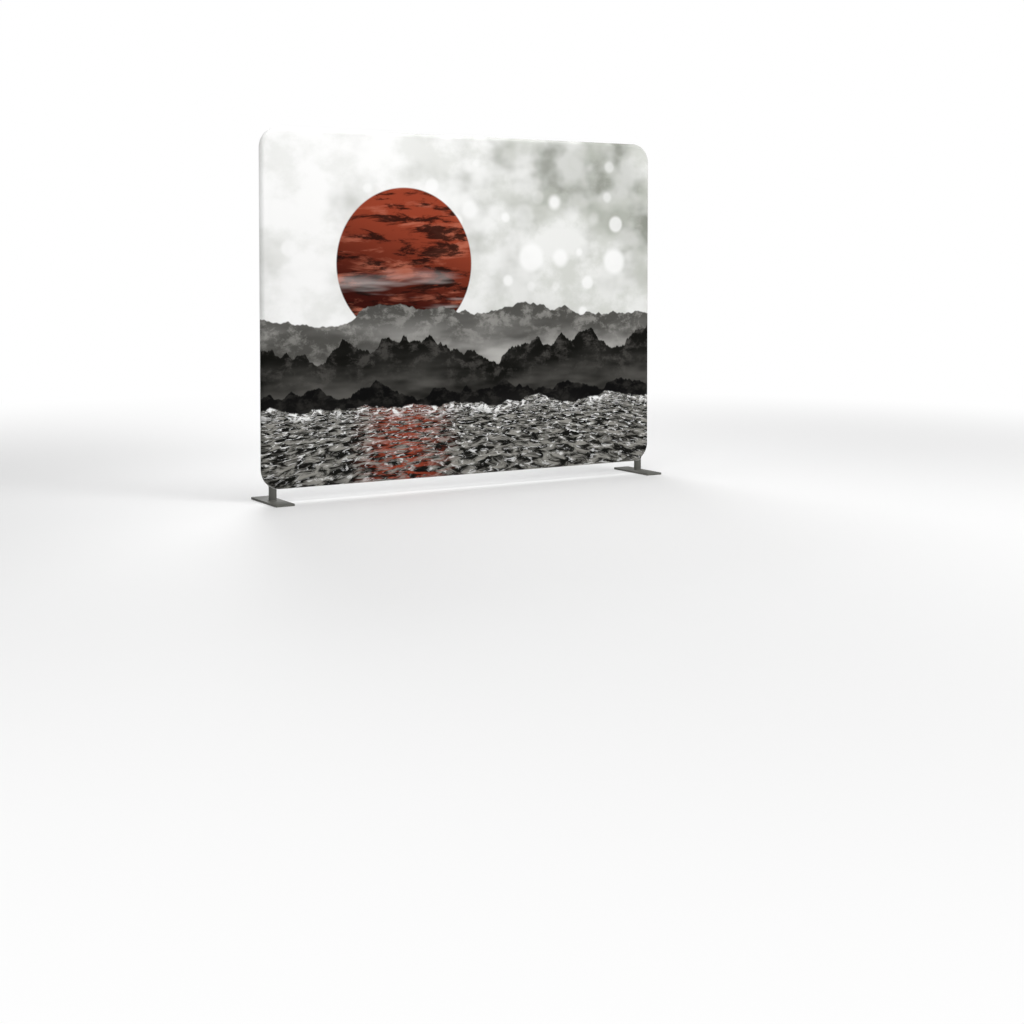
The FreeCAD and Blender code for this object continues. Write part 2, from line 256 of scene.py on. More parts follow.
def sky(paint):
    """White haze with grey mottling, greyer to the right, and soft round lights."""
    right = paint.step(paint.across, -0.6, 0.7)
    high = paint.step(paint.up, 0.72, 1.05)
    scene = paint.over(WHITE, PALE_GREY, paint.times(right, 0.4))
    broad = paint.cloud(1.9, 2.6, 0.4, 0.62, detail=4.0, rough=0.52, offset=3.1)
    fine = paint.cloud(7.5, 9.0, 0.32, 0.68, rough=0.4, offset=7.7)
    mottling = paint.times(broad, paint.between(0.4, 1.0, fine))
    mottling = paint.times(mottling, paint.between(0.35, 1.0, high))
    mottling = paint.times(mottling, paint.between(0.5, 1.0, right))
    scene = paint.over(scene, CLOUD_GREY, mottling)
    patches = paint.cloud(4.2, 5.2, 0.42, 0.66, detail=6.0, rough=0.58, offset=11.6)
    patches = paint.times(patches, paint.between(0.25, 0.6, right))
    scene = paint.over(scene, PATCH_GREY, patches)
    for count, offset, strength in SKY_LIGHTS:
        lights = round_lights(paint, count, offset)
        scene = paint.over(scene, WHITE, paint.times(lights, strength))
    return scene


def round_lights(paint, count, offset):
    """Soft discs of several sizes, so many to the metre, none of them at the panel's edge."""
    inputs = {"Vector": paint.grid(count, count, offset), "Scale": 1.0, "Randomness": 0.7}
    cells = paint.add("ShaderNodeTexVoronoi", inputs, voronoi_dimensions="2D").outputs
    pick = paint.add("ShaderNodeSeparateColor", {0: cells["Color"]}).outputs
    reach = paint.between(0.14, 0.34, pick[0])
    disc = paint.step(paint.minus(reach, cells["Distance"]), 0.0, 0.13)
    lights = paint.times(disc, paint.step(pick[1], 0.35, 0.75))
    middle = paint.add("ShaderNodeSeparateXYZ", {0: cells["Position"]}).outputs
    aside = paint.math("ABSOLUTE", paint.minus(middle[0], offset))
    end_aside, start_aside = [place * count for place in LIGHTS_ASIDE]
    end_up, start_up = [place * count + offset for place in LIGHTS_UP]
    lights = paint.times(lights, paint.step(aside, end_aside, start_aside))
    return paint.times(lights, paint.step(middle[1], end_up, start_up))


def sun(paint, scene):
    """A large rust-red disc, darker towards its foot, with streaks of cloud."""
    x = paint.minus(paint.across, sun_x)
    z = paint.minus(paint.up, sun_z)
    disc = paint.step(paint.distance(x, z), sun_radius, sun_radius - sun_rim)
    shade = paint.step(paint.plus(z, paint.times(x, 0.3)), 0.24, -0.2)
    body = paint.over(RUST, DARK_RUST, shade)
    pale = paint.cloud(3.2, 15.0, 0.5, 0.7, detail=5.0, rough=0.62, offset=1.7, bend=0.3)
    body = paint.over(body, PALE_RUST, paint.times(pale, 0.7))
    dark = paint.cloud(4.5, 19.0, 0.5, 0.62, detail=6.0, rough=0.66, offset=5.2, bend=0.3)
    body = paint.over(body, BURNT, paint.times(dark, 0.9))
    haze = paint.cloud(1.6, 13.0, 0.52, 0.74, detail=3.0, rough=0.55, offset=9.4)
    haze = paint.times(haze, paint.step(z, 0.05, -0.2))
    body = paint.over(body, HAZE, paint.times(haze, 0.7))
    return paint.over(scene, body, disc)


def ridge(paint, scene, level, rise, scale, detail, offset, rock, lit, mist):
    """One line of hills, misty at its foot."""
    top = paint.plus(level, paint.times(paint.profile(scale, detail, offset), rise))
    below = paint.minus(top, paint.up)
    inside = paint.step(below, 0.0, ridge_rim)
    crags = paint.cloud(12.0, 17.0, 0.46, 0.66, detail=7.0, rough=0.7, offset=offset, bend=0.15)
    body = paint.over(rock, lit, paint.times(crags, paint.step(below, 0.22, 0.0)))
    foot = paint.step(paint.up, level + 0.02, level - 0.2)
    veil = paint.cloud(2.2, 8.0, 0.3, 0.75, detail=3.0, rough=0.55, offset=offset + 4.0)
    body = paint.over(body, mist, paint.times(foot, paint.times(veil, 0.75)))
    return paint.over(scene, body, inside)


def ripples(paint, depth, wide, high, offset, thin, thick):
    """Patches in perspective: fine at the shore, broader towards the foot of the panel."""
    x = paint.math("DIVIDE", paint.times(paint.across, wide), paint.plus(depth, ripple_spread))
    z = paint.math("LOGARITHM", paint.plus(depth, ripple_first), ripple_base)
    inputs = {0: paint.plus(x, offset), 1: paint.times(z, high)}
    place = paint.add("ShaderNodeCombineXYZ", inputs).outputs[0]
    inputs = {"Vector": place, "Scale": 1.0, "Detail": 6.0, "Roughness": 0.66, "Distortion": 0.5}
    noise = paint.add("ShaderNodeTexNoise", inputs, noise_dimensions="2D").outputs[0]
    return paint.step(noise, thin, thick)


def water(paint, scene):
    """Rippled foreground: speckled grey and black with white glints and a red reflection."""
    hills = paint.profile(scale=5.0, detail=6.0, offset=12.0)
    shore = paint.plus(shore_z, paint.times(hills, shore_play))
    below = paint.minus(shore, paint.up)
    inside = paint.step(below, 0.0, shore_rim)
    depth = paint.math("MAXIMUM", paint.minus(shore_z, paint.up), -shore_crest)
    coarse = ripples(paint, depth, wide=8.5, high=11.0, offset=2.6, thin=0.42, thick=0.64)
    body = paint.over(WATER_BLACK, WATER_GREY, coarse)
    glints = ripples(paint, depth, wide=15.5, high=17.0, offset=6.1, thin=0.56, thick=0.66)
    far = paint.step(below, 0.3, 0.02)
    body = paint.over(body, WHITE, paint.times(glints, paint.between(0.55, 1.0, far)))
    aside = paint.math("ABSOLUTE", paint.minus(paint.across, sun_x))
    under_sun = paint.step(aside, 0.26, 0.02)
    red = ripples(paint, depth, wide=6.6, high=19.0, offset=4.4, thin=0.45, thick=0.58)
    body = paint.over(body, WATER_RED, paint.times(under_sun, paint.times(red, 0.9)))
    foam = paint.cloud(22.0, 36.0, 0.5, 0.6, detail=6.0, rough=0.7, offset=1.3, bend=0.5)
    body = paint.over(body, WHITE, paint.times(foam, paint.step(below, 0.06, 0.01)))
    return paint.over(scene, body, inside)


def printed_fabric():
    """Stretch knit with a generic landscape: haze, a red sun, ridges and rippled water."""
    paint = Paint("printed_fabric", 0.72, on_cover=True)
    scene = sun(paint, sky(paint))
    scene = ridge(paint, scene, level=0.71, rise=0.3, scale=2.0, detail=5.0, offset=1.0,
                  rock=(0.07, 0.068, 0.062), lit=(0.22, 0.215, 0.2), mist=(0.52, 0.51, 0.485))
    scene = ridge(paint, scene, level=0.58, rise=0.44, scale=2.6, detail=7.0, offset=5.3,
                  rock=(0.004, 0.004, 0.003), lit=(0.05, 0.047, 0.043), mist=(0.12, 0.115, 0.105))
    scene = ridge(paint, scene, level=0.4, rise=0.24, scale=3.4, detail=8.0, offset=9.1,
                  rock=grey(0.002), lit=(0.02, 0.019, 0.017), mist=(0.035, 0.033, 0.03))
    paint.colour(water(paint, scene))
    knit(paint)
    return paint.material


def plain_fabric():
    """The same knit without a print, faintly uneven in the cloth."""
    paint = Paint("plain_fabric", 0.75, on_cover=True)
    ground = paint.over(grey(0.79), grey(0.82), paint.cloud(2.2, 1.4, 0.3, 0.7))
    wales = paint.cloud(420.0, 9.0, 0.35, 0.65, offset=3.3)
    paint.colour(paint.over(ground, grey(0.84), paint.times(wales, 0.45)))
    knit(paint)
    return paint.material


def seam_thread():
    """Pale spun thread."""
    paint = Paint("seam_thread", 0.7)
    tone = paint.step(paint.grain(2500.0), 0.35, 0.65)
    paint.colour(paint.over(grey(0.56), grey(0.7), tone))
    paint.sheen(weight=0.2, roughness=0.4)
    return paint.material


def woven_tape():
    """Twill tape: fine slanted ribs, with painted shade that darkens the grooves between them."""
    paint = Paint("woven_tape", 0.8)
    ribs = paint.waves(paint.plus(paint.across, paint.up), rib_width)
    # Painted shade: the grey is darker in the grooves between the ribs and lighter on their crests
    paint.colour(paint.over(grey(0.6), grey(0.75), paint.step(ribs, -1.0, 1.0)))
    paint.relief(ribs, rib_depth, strength=0.5)
    return paint.material


def moulded_nylon():
    """Smooth white plastic, a little uneven in tone."""
    paint = Paint("moulded_nylon", 0.38)
    tone = paint.step(paint.grain(300.0), 0.35, 0.65)
    paint.colour(paint.over((0.7, 0.7, 0.69), (0.78, 0.78, 0.77), tone))
    return paint.material


def metal(name, dark, light, smooth, rough, scale):
    """Bare or plated metal with uneven tone and gloss."""
    paint = Paint(name, rough, metallic=1.0)
    tone = paint.step(paint.grain(scale, detail=4.0), 0.3, 0.7)
    paint.colour(paint.over(dark, light, tone))
    paint.roughen(paint.between(smooth, rough, tone))
    paint.relief(tone, depth=0.00003, strength=0.2)
    return paint.material


def powder_coat():
    """Satin dark grey paint on steel, with a fine orange-peel texture."""
    paint = Paint("powder_coat", 0.5)
    speckle = paint.step(paint.grain(1600.0), 0.35, 0.65)
    broad = paint.step(paint.grain(14.0, detail=3.0), 0.3, 0.7)
    tone = paint.over((0.105, 0.106, 0.094), (0.132, 0.132, 0.118), speckle)
    paint.colour(paint.over(tone, (0.115, 0.115, 0.103), paint.times(broad, 0.5)))
    paint.roughen(paint.between(0.58, 0.68, broad))
    paint.relief(paint.grain(900.0), depth=0.0002, strength=0.3)
    paint.gloss(0.3)
    return paint.material


PRINTED = printed_fabric()
PLAIN = plain_fabric()
THREAD = seam_thread()
TAPE = woven_tape()
NYLON = moulded_nylon()
COAT = powder_coat()
TUBE = metal("satin_aluminium", (0.55, 0.56, 0.57), (0.64, 0.65, 0.66),
             smooth=0.34, rough=0.46, scale=240.0)
SLEEVE = metal("mill_aluminium", grey(0.5), grey(0.6), smooth=0.3, rough=0.42, scale=400.0)
STEEL = metal("spring_steel", (0.3, 0.3, 0.31), (0.42, 0.42, 0.43),
              smooth=0.28, rough=0.42, scale=500.0)
PLATED = metal("zinc_plating", (0.62, 0.62, 0.6), (0.7, 0.7, 0.68),
               smooth=0.24, rough=0.32, scale=260.0)
NICKEL = metal("nickel_plating", (0.56, 0.55, 0.525), (0.62, 0.605, 0.58),
               smooth=0.24, rough=0.3, scale=160.0)

# The construction's own pieces that stay in sight or inside the cover
FINISHES = (("base_plate", COAT), ("post", COAT), ("corner", TUBE), ("top_rail", TUBE),
            ("bottom_rail", TUBE), ("side_tube", TUBE), ("spigot", SLEEVE), ("stub", SLEEVE),
            ("rivets", SLEEVE), ("button", PLATED))
for name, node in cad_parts.items():
    for start, finish in FINISHES:
        if name.startswith(start):
            node.data.materials.clear()
            node.data.materials.append(finish)

# Meshes: the shortest edge that is kept, and the turn from which an edge is rounded or left sharp
sliver = 0.000005
least_turn = radians(25)
hard_turn = radians(40)


def of_kind(kind, parts):
    return [part for part in parts if isinstance(part, kind)]


def outwards(bm):
    bmesh.ops.recalc_face_normals(bm, faces=bm.faces[:])


def without_slivers(bm):
    bmesh.ops.dissolve_degenerate(bm, dist=sliver, edges=bm.edges[:])


def section(bm, points):
    """A row of points, joined by edges."""
    verts = [bm.verts.new(point) for point in points]
    return verts + [bm.edges.new(pair) for pair in zip(verts, verts[1:])]


def drawn_along(bm, parts, way, steps):
    """Draws a section along a straight line and leaves the surface behind it."""
    edges = of_kind(BMEdge, parts)
    for _ in range(steps):
        made = bmesh.ops.extrude_edge_only(bm, edges=edges)["geom"]
        moved = of_kind(BMVert, made)
        bmesh.ops.translate(bm, verts=moved, vec=way / steps)
        edges = [edge for edge in of_kind(BMEdge, made) if set(edge.verts).issubset(moved)]


def spun(bm, parts, centre, axis, turn, steps):
    """Turns a section round an axis and leaves the surface behind it."""
    bmesh.ops.spin(bm, geom=parts, cent=centre, axis=axis, dvec=(0, 0, 0), angle=turn,
                   steps=steps, use_merge=turn == FULL_TURN, use_normal_flip=False,
                   use_duplicate=False)


def upright_grid(bm, middle, wide, tall, wide_steps, tall_steps):
    place = (Matrix.Translation(middle) @ Matrix.Rotation(QUARTER, 4, "X")
             @ Matrix.Diagonal((wide / 2, tall / 2, 1, 1)))
    bmesh.ops.create_grid(bm, x_segments=wide_steps, y_segments=tall_steps, size=1, matrix=place)


def raised(bm, points, way):
    """Raises a flat outline into a solid."""
    face = bm.faces.new([bm.verts.new(point) for point in points])
    made = bmesh.ops.extrude_face_region(bm, geom=[face])["geom"]
    bmesh.ops.translate(bm, verts=of_kind(BMVert, made), vec=way)


def solid_box(bm, low, high):
    corners = ((low.x, low.z), (high.x, low.z), (high.x, high.z), (low.x, high.z))
    raised(bm, [Vector((x, low.y, z)) for x, z in corners], Y * (high.y - low.y))


def eased(bm, offset, segments=2, least=least_turn):
    """Rounds every edge that turns by more than a little."""
    outwards(bm)
    sharp = [edge for edge in bm.edges if edge.is_manifold and edge.calc_face_angle() > least]
    bmesh.ops.bevel(bm, geom=sharp, offset=offset, offset_type="OFFSET", affect="EDGES",
                    segments=segments, profile=0.5, material=-1, clamp_overlap=True)
    without_slivers(bm)


def in_scene(name, data):
    made = bpy.data.objects.new(name, data)
    bpy.context.scene.collection.objects.link(made)
    return made


def mesh_object(name, bm):
    mesh = bpy.data.meshes.new(name)
    bm.to_mesh(mesh)
    bm.free()
    return in_scene(name, mesh)


def smooth(mesh, crease):
    """Shades a mesh smoothly, apart from edges that turn by more than the crease."""
    for face in mesh.polygons:
        face.use_smooth = True
    mesh.set_sharp_from_angle(angle=crease)


def piece(name, bm, finish, body="stand"):
    """Makes an object of a mesh and lets it ride on a body of the construction."""
    made = mesh_object(name, bm)
    made.data.materials.append(finish)
    smooth(made.data, hard_turn)
    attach(made, body)
    return made


def thicken(target, thickness, offset):
    thick = target.modifiers.new("thickness", "SOLIDIFY")
    thick.thickness = thickness
    thick.offset = offset


# Fabric cover: a front and a back sheet, each rolled round the tubes to the side seam
FRONT = -1
BACK = 1
panel_step = 0.02
flat_steps = 6
roll_steps = 12
corner_steps = 96
seam_half_gap = 0.0002
merging_gap = 0.00001
fabric_crease = radians(50)

# How the fabric puckers at the corners and swells a little over the panel
pucker_depth = 0.0006
pucker_turn = radians(9)
pucker_play = 0.4
pucker_beat = 11
roll_fade = 6
flat_fade = 9
swell_depth = 0.0007
swell_across = 2.3
swell_up = 3.1
swell_slant = 0.4
swell_start = 0.7
edge_fade = 0.12


def cover_section(out, centre, face):
    """From the middle of a corner's bend, flat to the tube and round it to the seam."""
    points = []
    for step in range(flat_steps):
        points.append(centre + out * (bend_radius * step / flat_steps) + Y * (face * cover_radius))
    last_turn = acos(seam_half_gap / cover_radius)
    for step in range(roll_steps + 1):
        turn = last_turn * step / roll_steps
        points.append(centre + out * (bend_radius + cover_radius * sin(turn))
                      + Y * (face * cover_radius * cos(turn)))
    return points


def cover_corner(side, level):
    """The middle of a corner's bend, at mid-thickness."""
    return Vector((side * bend_x, 0, high_bend_z if level > 0 else low_bend_z))


def cover_sheet(face):
    """One side of the cover: four rolled corners, four rolled edges and the flat between them."""
    bm = bmesh.new()
    wide_steps = ceil(straight_width / panel_step)
    tall_steps = ceil(straight_height / panel_step)
    for level in (-1, 1):
        for side in (-1, 1):
            centre = cover_corner(side, level)
            parts = section(bm, cover_section(Z * level, centre, face))
            spun(bm, parts, centre, Y, side * level * QUARTER, corner_steps)
        parts = section(bm, cover_section(Z * level, cover_corner(-1, level), face))
        drawn_along(bm, parts, X * straight_width, wide_steps)
    for side in (-1, 1):
        parts = section(bm, cover_section(X * side, cover_corner(side, -1), face))
        drawn_along(bm, parts, Z * straight_height, tall_steps)
    middle = Vector((0, face * cover_radius, middle_z))
    upright_grid(bm, middle, straight_width, straight_height, wide_steps, tall_steps)
    bmesh.ops.remove_doubles(bm, verts=bm.verts[:], dist=merging_gap)
    outwards(bm)
    if bm.faces[0].normal.y * face < 0:
        bmesh.ops.reverse_faces(bm, faces=bm.faces[:])
    for vert in bm.verts:
        vert.co += fabric_play(vert.co, face)
        vert.co.y = face * max(abs(vert.co.y), post_clearance(vert.co))
    return bm


def post_clearance(point):
    """How far from mid-thickness the fabric lies at a place, to go round a post."""
    aside = abs(abs(point.x) - post_x)
    if aside < slit_radius and point.z < low_bend_z:
        return sqrt(slit_radius ** 2 - aside ** 2)
    return 0


def fabric_play(point, face):
    """How far the fabric stands off its tight shape: puckers at the corners, a faint swell."""
    side = 1 if point.x > 0 else -1
    level = 1 if point.z > middle_z else -1
    out = point - cover_corner(side, level)
    out.y = 0
    gap = min(rail_x - abs(point.x), high_z - point.z, point.z - low_z)
    puckers = Vector()
    if out.x * side > 0 and out.z * level > 0:
        gap = bend_radius - out.length
        puckers = corner_puckers(out, side + level, face)
    calm = min(1, max(0, gap / edge_fade))
    swell = sin(swell_across * point.x + swell_start)
    swell *= sin(swell_up * point.z + swell_slant * point.x)
    return puckers + Y * (face * swell_depth * calm * calm * swell)


def corner_puckers(out, phase, face):
    """Small folds across a corner's roll, which fade out on the flat of the panel."""
    reach = out.length
    aim = out.normalized()
    turn = acos(min(1, abs(aim.x)))
    wave = 0.5 - 0.5 * cos(FULL_TURN * turn / pucker_turn)
    wave *= sin(2 * turn) ** 2 * (1 - pucker_play + pucker_play * sin(pucker_beat * turn + phase))
    if reach > bend_radius:
        rolled = min(1, (reach - bend_radius) / cover_radius)
        way = aim * rolled + Y * (face * sqrt(1 - rolled * rolled))
        return way * (pucker_depth * wave * (1 - rolled ** roll_fade))
    return Y * (face * pucker_depth * wave * (reach / bend_radius) ** flat_fade)


def cut_through(target, cutters):
    """Gives the fabric its thickness and cuts the openings."""
    thicken(target, cover_thickness, -1)
    for cutter in cutters:
        cut = target.modifiers.new("opening", "BOOLEAN")
        cut.operation = "DIFFERENCE"
        cut.solver = "EXACT"
        cut.object = cutter
    graph = bpy.context.evaluated_depsgraph_get()
    finished = bpy.data.meshes.new_from_object(target.evaluated_get(graph))
    target.modifiers.clear()
    rough = target.data
    target.data = finished
    bpy.data.meshes.remove(rough)
    finished.name = target.name
    bm = bmesh.new()
    bm.from_mesh(finished)
    without_slivers(bm)
    bm.to_mesh(finished)
    bm.free()
    smooth(finished, fabric_crease)


def laid_flat(point):
    """Where a point of the cover lies on the cut fabric, before it is rolled round the tubes."""
    base_x = min(max(point.x, -bend_x), bend_x)
    base_z = min(max(point.z, low_bend_z), high_bend_z)
    base = Vector((base_x, 0, base_z))
    out = Vector((point.x, 0, point.z)) - base
    reach = out.length
    if reach <= bend_radius:
        return base + out
    rolled = cover_radius * atan2(reach - bend_radius, abs(point.y))
    return base + out * ((bend_radius + rolled) / reach)


def lay_flat(sheet):
    """Notes on each point of a sheet its place on the cut fabric."""
    places = sheet.data.attributes.new(LAID_FLAT, "FLOAT_VECTOR", "POINT")
    for vert, place in zip(sheet.data.vertices, places.data):
        place.vector = laid_flat(vert.co)


def slot_cutter():
    """A bar as long and as high as the opening for the zip."""
    bm = bmesh.new()
    solid_box(bm, Vector((-slot_reach, zip_y, zip_z - slot_half)),
              Vector((slot_reach, 2 * cover_radius, zip_z + slot_half)))
    outwards(bm)
    return mesh_object("slot_cutter", bm)


slot_box = slot_cutter()
front = piece("cover_front_sheet", cover_sheet(FRONT), PRINTED)
cut_through(front, [])
lay_flat(front)
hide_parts("cover_front")
back = piece("cover_back_sheet", cover_sheet(BACK), PLAIN)
cut_through(back, [slot_box])
lay_flat(back)
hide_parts("cover_back")
slot_mesh = slot_box.data
bpy.data.objects.remove(slot_box)
bpy.data.meshes.remove(slot_mesh)

# Sewing: the ladder of the side seam, bindings round the posts, rows beside the zip
ladder_stitch = (0.0026, 0.0005, 0.0004)
ladder_spacing = 0.0042
ladder_gap = 0.003
binding_radius = 0.0006
binding_sunk = 0.0003
binding_sides = 8
binding_steps = 64
row_stitch = (0.0025, 0.0005, 0.0004)
row_spacing = 0.0034
row_gaps = (0.0018, 0.0048)
tack_stitch = (0.0017, 0.0005, 0.0005)
tack_gap = 0.0016
tack_play = 0.0007
tacks_each_way = 4
stitch_lift = 0.0001


def seam_places(spacing):
    """Places once round the side seam, each with the way out of the cover."""
    places = []
    reach = bend_radius + cover_radius
    for number, (side, level) in enumerate(((1, 1), (-1, 1), (-1, -1), (1, -1))):
        centre = cover_corner(side, level)
        start = number * QUARTER
        count = round(QUARTER * reach / spacing)
        for step in range(count):
            turn = start + QUARTER * step / count
            out = Vector((cos(turn), 0, sin(turn)))
            places.append((centre + out * reach, out))
        out = Vector((cos(start + QUARTER), 0, sin(start + QUARTER)))
        along = Y.cross(out) * -1
        length = straight_width if number % 2 == 0 else straight_height
        count = round(length / spacing)
        for step in range(count):
            places.append((centre + out * reach + along * (length * step / count), out))
    return places


def stitch(bm, place, along, out, size):
    """One short thread on the surface. Its size is its length, width and height."""
    turn = Matrix((along, out.cross(along), out)).transposed().to_4x4()
    lie = Matrix.Translation(place) @ turn @ Matrix.Diagonal((*size, 1))
    bmesh.ops.create_cube(bm, size=1, matrix=lie)


def seam_ladder():
    """Stitches across the side seam, all round but for the openings for the posts."""
    bm = bmesh.new()
    for place, out in seam_places(ladder_spacing):
        if place.z < low_z and abs(abs(place.x) - post_x) < slit_radius + ladder_gap:
            continue
        stitch(bm, place, Y, out, ladder_stitch)
    return piece("side_seam_stitches", bm, THREAD)


def slit_binding(side, name):
    """A bound edge round the opening that the post comes through."""
    bm = bmesh.new()
    reach = slit_radius - binding_sunk
    place = Matrix.Translation(X * reach) @ Matrix.Rotation(QUARTER, 4, "X")
    bmesh.ops.create_circle(bm, segments=binding_sides, radius=binding_radius, matrix=place)
    spun(bm, bm.verts[:] + bm.edges[:], (0, 0, 0), Z, FULL_TURN, binding_steps)
    outwards(bm)
    for vert in bm.verts:
        around = Vector((vert.co.x, vert.co.y, 0)).normalized() * reach
        aside = post_x + side * around.x - bend_x
        vert.co.z += low_bend_z - sqrt((bend_radius + cover_radius) ** 2 - aside ** 2)
        vert.co.x += side * post_x
    return piece(name, bm, THREAD)


def zip_stitches():
    """Two rows above and two below the zip, and a bar of tacks at each end."""
    bm = bmesh.new()
    count = round(2 * slot_reach / row_spacing)
    surface = cover_radius + stitch_lift
    for way in (-1, 1):
        for gap in row_gaps:
            z = zip_z + way * (slot_half + gap)
            for step in range(count):
                x = -slot_reach + 2 * slot_reach * (step + 0.5) / count
                stitch(bm, Vector((x, surface, z)), X, Y, row_stitch)
    for side in (-1, 1):
        for step in range(2 * tacks_each_way + 1):
            x = side * (slot_reach + tack_gap + tack_play * (step % 2))
            z = zip_z + slot_half * (step - tacks_each_way) / tacks_each_way
            stitch(bm, Vector((x, surface, z)), Z, Y, tack_stitch)
    return piece("zip_stitches", bm, THREAD)


ladder = seam_ladder()
binding_left = slit_binding(-1, "slit_binding_left")
binding_right = slit_binding(1, "slit_binding_right")
zip_rows = zip_stitches()

# Zip: two woven tapes, rows of teeth, end stops, slider and pull
tape_steps = 80
tape_rows = 2
tooth_pitch = 0.0024
tooth_width = 0.00095
tooth_overlap = 0.0006
tooth_inset = 0.05
stop_length = 0.004
stop_gap = 0.0001
stop_inset = 0.0003
stop_rounding = 0.0005
zip_rounding = 0.0003

# Slider: two wings with flanges, a post between them and a bail on top
wing_thickness = 0.001
wing_gap = 0.0015
wing_taper = 0.0016
flange_width = 0.001
flange_clear = 0.0006
flange_sunk = 0.0002
slider_post = (0.002, 0.005)
slider_post_half = 0.0008
bail_half = 0.004
bail_wall = 0.001
bail_width = 0.002
bail_corner = 0.0009
bail_inner_corner = 0.0003

# Pull: its neck and eye as shares of its width
neck_share = 0.85
eye_share = 0.5
eye_length = 0.006
tip_steps = 16
bar_sides = 20
bar_short = 0.0004


def zip_tape(name):
    """One woven tape behind the opening."""
    low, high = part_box(name)
    wide = high.x - low.x
    tall = high.z - low.z
    bm = bmesh.new()
    upright_grid(bm, (low + high) / 2, wide, tall, tape_steps, tape_rows)
    made = piece(name + "_weave", bm, TAPE)
    thicken(made, high.y - low.y, 0)
    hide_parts(name)


def zip_teeth(name, way):
    """A row of interlocking teeth: one tooth, repeated along the zip."""
    low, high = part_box(name)
    inset = tooth_inset * (high.y - low.y)
    root = zip_z + way * (high.z - low.z)
    ends = sorted([zip_z - way * tooth_overlap, root])
    start = low.x + (tooth_pitch / 2 if way > 0 else 0)
    bm = bmesh.new()
    solid_box(bm, Vector((start, low.y + inset, ends[0])),
              Vector((start + tooth_width, high.y - inset, ends[1])))
    eased(bm, zip_rounding, segments=1)
    made = piece(name + "_teeth", bm, NYLON)
    row = made.modifiers.new("row", "ARRAY")
    row.use_relative_offset = False
    row.use_constant_offset = True
    row.constant_offset_displace = (tooth_pitch, 0, 0)
    row.count = int((high.x - start - tooth_width) / tooth_pitch) + 1
    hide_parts(name)
    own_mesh(made)


def zip_stops():
    """A bar across both rows at one end, and a clip on each row at the other."""
    low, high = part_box("zip_stops")
    bm = bmesh.new()
    solid_box(bm, low, Vector((low.x + stop_length, high.y, high.z)))
    for way in (-1, 1):
        ends = sorted([zip_z + way * stop_gap, zip_z + way * (high.z - zip_z)])
        solid_box(bm, Vector((high.x - stop_length, low.y + stop_inset, ends[0])),
                  Vector((high.x, high.y - stop_inset, ends[1])))
    eased(bm, stop_rounding)
    made = piece("zip_stops_metal", bm, NICKEL)
    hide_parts("zip_stops")


def slider_body(bm, middle, half, shoulder):
    """The wings with their flanges, wider at one end, and the post between them."""
    tail = shoulder - wing_taper
    side = [(-half, tail), (0, tail), (half, shoulder)]
    wing = side + [(along, -width) for along, width in reversed(side)]
    flange = side + [(along, width - flange_width) for along, width in reversed(side)]
    flange_height = wing_gap - flange_clear + flange_sunk
    for way in (-1, 1):
        raised(bm, [Vector((middle + along, zip_y + way * wing_gap, zip_z + width))
                    for along, width in wing], Y * (way * wing_thickness))
        for edge in (-1, 1):
            raised(bm, [Vector((middle + along, zip_y + way * flange_clear, zip_z + edge * width))
                        for along, width in flange], Y * (way * flange_height))
    post_start, post_end = slider_post
    solid_box(bm, Vector((middle + post_start, zip_y - wing_gap, zip_z - slider_post_half)),
              Vector((middle + post_end, zip_y + wing_gap, zip_z + slider_post_half)))


def slider_bail(bm, middle, top):
    """The bridge that holds the pull."""
    floor = zip_y + wing_gap + wing_thickness
    crown = top - floor
    roof = crown - bail_wall
    inner = bail_half - bail_wall
    outside = [(bail_half, 0), (bail_half, crown - bail_corner), (bail_half - bail_corner, crown)]
    inside = [(inner - bail_inner_corner, roof), (inner, roof - bail_inner_corner), (inner, 0)]
    outline = outside + [(-along, height) for along, height in reversed(outside)]
    outline += [(-along, height) for along, height in reversed(inside)] + inside
    raised(bm, [Vector((middle + along, floor + height, zip_z - bail_width / 2))
                for along, height in outline], Z * bail_width)


def zip_slider():
    low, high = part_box("zip_slider")
    middle = (low.x + high.x) / 2
    bm = bmesh.new()
    slider_body(bm, middle, (high.x - low.x) / 2, (high.z - low.z) / 2)
    slider_bail(bm, middle, high.y)
    eased(bm, zip_rounding)
    made = piece("zip_slider_metal", bm, NICKEL, "zip_slider")
    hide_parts("zip_slider")


def zip_pull():
    """A flat tab with a round tip and an eye, on a bar that turns in the bail."""
    low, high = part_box("zip_pull")
    bar = (high.y - low.y) / 2
    pivot = Vector((low.x + bar, (low.y + high.y) / 2, zip_z))
    wide = (high.z - low.z) / 2
    neck = neck_share * wide
    eye = eye_share * wide
    tip = high.x - pivot.x - wide
    outline = [(0, neck), (0, eye), (eye_length, eye), (eye_length, -eye), (0, -eye), (0, -neck),
               (eye_length, -neck)]
    for step in range(tip_steps + 1):
        turn = QUARTER * (2 * step / tip_steps - 1)
        outline.append((tip + wide * cos(turn), wide * sin(turn)))
    outline.append((eye_length, neck))
    bm = bmesh.new()
    raised(bm, [pivot + Vector((along, -bar, width)) for along, width in outline], Y * (2 * bar))
    eased(bm, zip_rounding, least=hard_turn)
    bmesh.ops.create_cone(bm, cap_ends=True, segments=bar_sides, radius1=bar, radius2=bar,
                          depth=2 * neck - bar_short, matrix=Matrix.Translation(pivot))
    made = piece("zip_pull_metal", bm, NICKEL, "zip_pull")
    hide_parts("zip_pull")


zip_tape("zip_tape_upper")
zip_tape("zip_tape_lower")
zip_teeth("zip_chain_upper", 1)
zip_teeth("zip_chain_lower", -1)
zip_stops()
zip_slider()
zip_pull()

